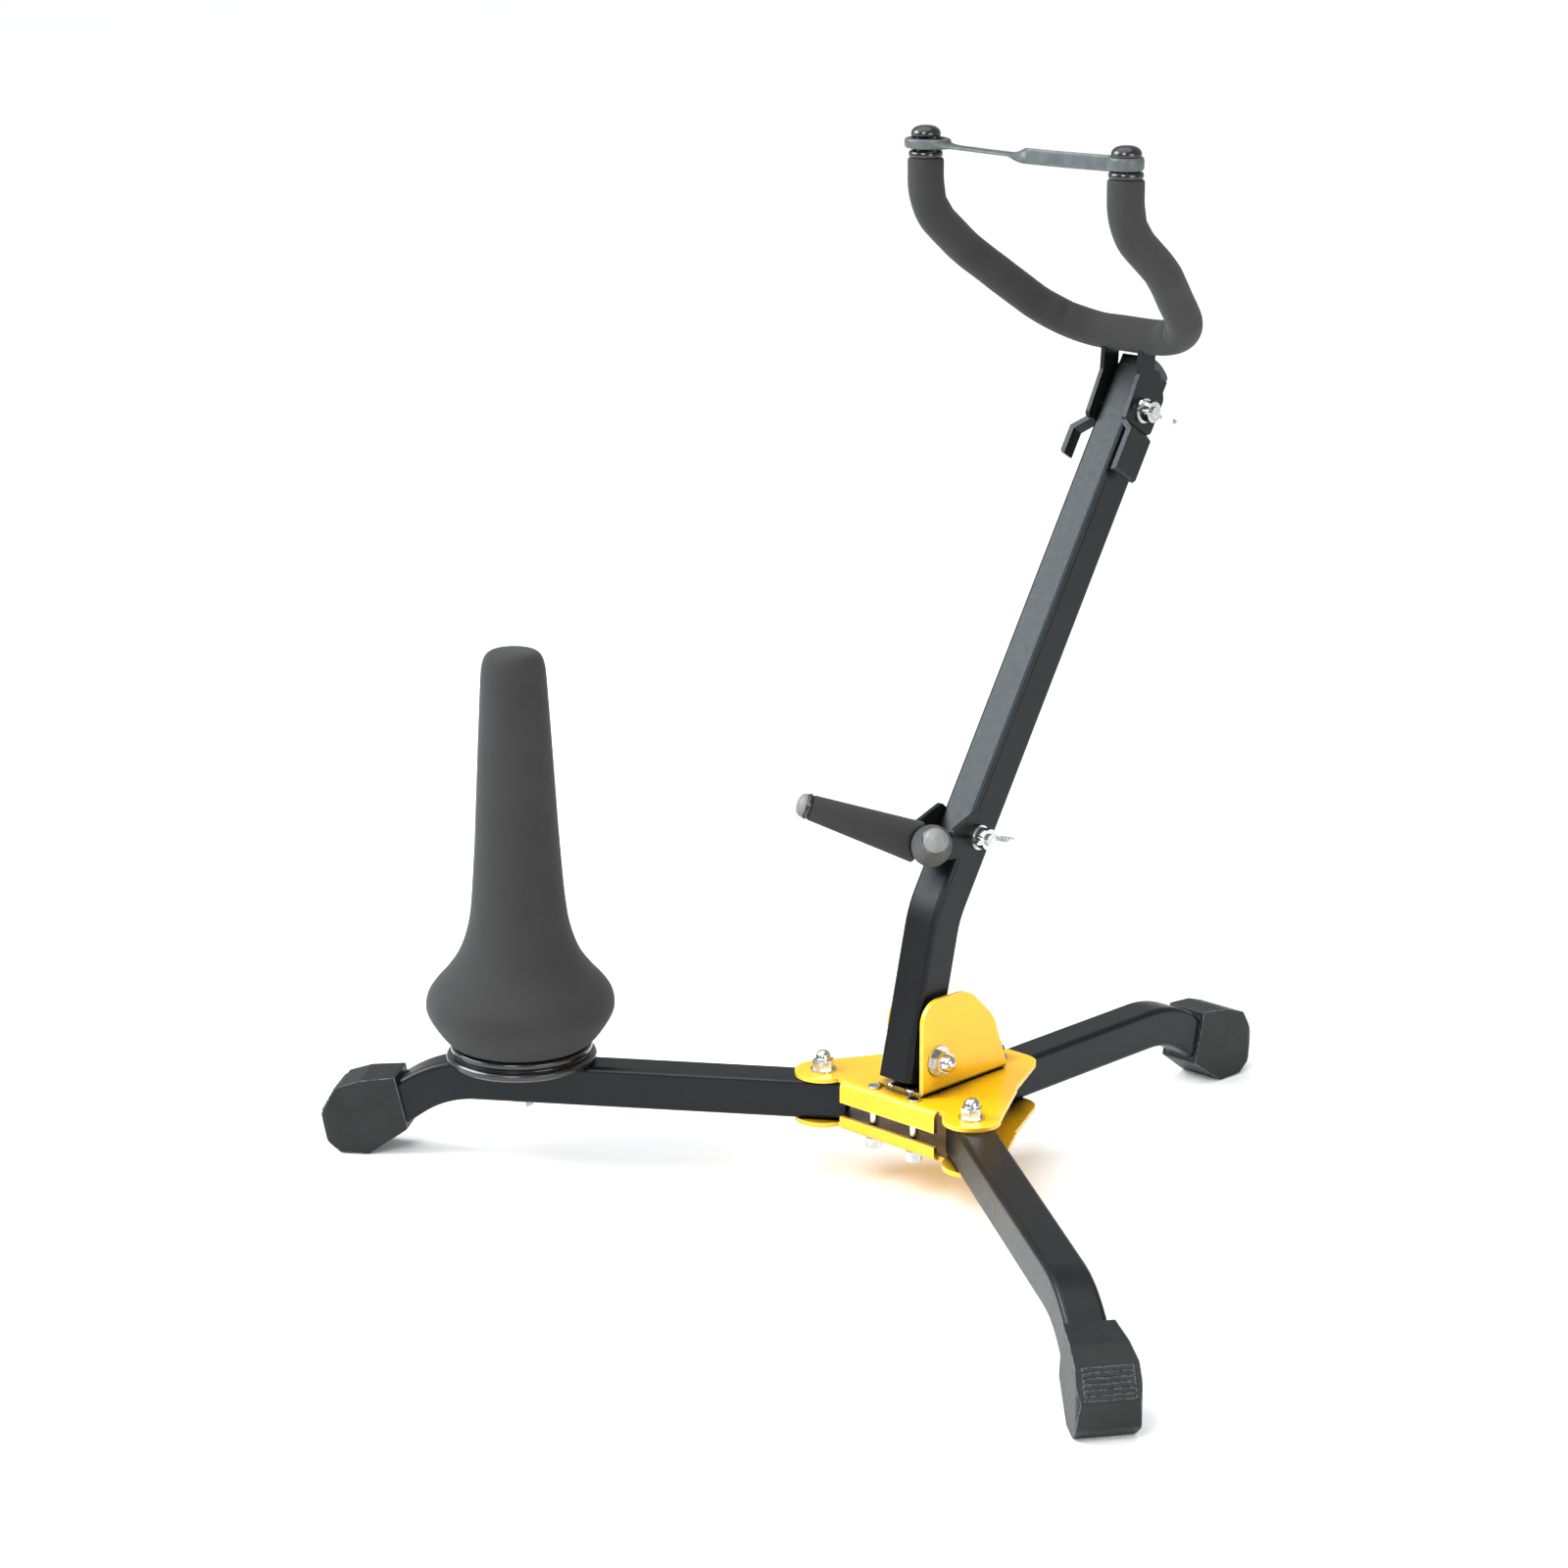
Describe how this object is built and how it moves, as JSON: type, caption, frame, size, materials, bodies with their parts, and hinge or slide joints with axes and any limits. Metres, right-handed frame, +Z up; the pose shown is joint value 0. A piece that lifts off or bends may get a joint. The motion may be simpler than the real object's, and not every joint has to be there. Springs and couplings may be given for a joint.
{
  "type": "saxophone stand",
  "caption": "Folding floor stand for a saxophone: leaning mast with padded yoke and lower rest on spread legs, with a soprano peg.",
  "frame": {"origin": "on the floor, under the centre of the stand's bounding box", "axes": "+Z up, -Y towards the player's side where the rest arms point, +X to the stand's right; the stand is mirrored about X = 0 but for the peg on the left leg"},
  "size_m": [0.561, 0.4462, 0.5402],
  "materials": {
    "hub_paint": "gloss powder coat",
    "black_paint": "satin powder coat",
    "bright_zinc": "bright plated",
    "nylon": "moulded",
    "foot_rubber": "moulded",
    "foam": "closed-cell foam",
    "black_plastic": "gloss moulded",
    "grey_plastic": "satin moulded",
    "strap_rubber": "moulded",
    "core_plastic": "moulded"
  },
  "bodies": {
    "hub": {"hub_top_plate": "hub_paint", "hub_bottom_plate": "hub_paint", "hub_spacers": "bright_zinc", "mast_bracket": "hub_paint", "bracket_rivets": "bright_zinc", "leg_pivot_bolts": "bright_zinc", "leg_pivot_nuts": "bright_zinc", "mast_pivot_bolt": "bright_zinc", "mast_pivot_nut": "bright_zinc", "back_leg_tube": "black_paint", "back_leg_bush": "nylon", "back_foot": "foot_rubber"},
    "left_leg": {"left_leg_tube": "black_paint", "left_leg_bush": "nylon", "left_foot": "foot_rubber", "peg_screw": "bright_zinc"},
    "peg": {"peg_base": "black_plastic", "peg_core": "core_plastic", "peg_cover": "foam"},
    "right_leg": {"right_leg_tube": "black_paint", "right_leg_bush": "nylon", "right_foot": "foot_rubber"},
    "mast": {"mast_tube": "black_paint", "mast_plug": "black_plastic", "mast_pivot_bushes": "nylon", "yoke_pivot_bolt": "bright_zinc", "rest_pivot_bolt": "bright_zinc"},
    "yoke": {"yoke_bracket": "black_paint", "yoke_rod": "black_paint", "yoke_foam": "foam", "yoke_tip_caps": "black_plastic", "safety_strap": "strap_rubber"},
    "yoke_nut": {"yoke_wing_nut": "bright_zinc"},
    "rest": {"rest_bracket": "black_paint", "rest_arms": "black_paint", "rest_foams": "foam", "rest_tip_caps": "grey_plastic"},
    "rest_nut": {"rest_wing_nut": "bright_zinc"}
  },
  "joints": [
    {"name": "left_leg_swing", "type": "hinge", "parent": "hub", "child": "left_leg", "pos_m": [-0.052, -0.05727, 0.0435], "axis": [0, 0, -1], "range_deg": [0, 117]},
    {"name": "right_leg_swing", "type": "hinge", "parent": "hub", "child": "right_leg", "pos_m": [0.052, -0.05727, 0.0435], "axis": [0, 0, 1], "range_deg": [0, 125]},
    {"name": "mast_fold", "type": "hinge", "parent": "hub", "child": "mast", "pos_m": [0, -0.04267, 0.075], "axis": [-1, 0, 0], "range_deg": [0, 58.4]},
    {"name": "yoke_tilt", "type": "hinge", "parent": "mast", "child": "yoke", "pos_m": [0, 0.11453, 0.39233], "axis": [1, 0, 0], "range_deg": [-80, 95]},
    {"name": "rest_tilt", "type": "hinge", "parent": "mast", "child": "rest", "pos_m": [0, -0.01123, 0.18791], "axis": [-1, 0, 0], "range_deg": [-20, 35]},
    {"name": "yoke_wing_nut_turn", "type": "hinge", "parent": "mast", "child": "yoke_nut", "pos_m": [0, 0.11453, 0.39233], "axis": [1, 0, 0], "continuous": true},
    {"name": "rest_wing_nut_turn", "type": "hinge", "parent": "mast", "child": "rest_nut", "pos_m": [0, -0.01123, 0.18791], "axis": [1, 0, 0], "continuous": true},
    {"name": "peg_turn", "type": "hinge", "parent": "left_leg", "child": "peg", "pos_m": [-0.1847, -0.15019, 0.0595], "axis": [0, 0, 1], "continuous": true}
  ]
}
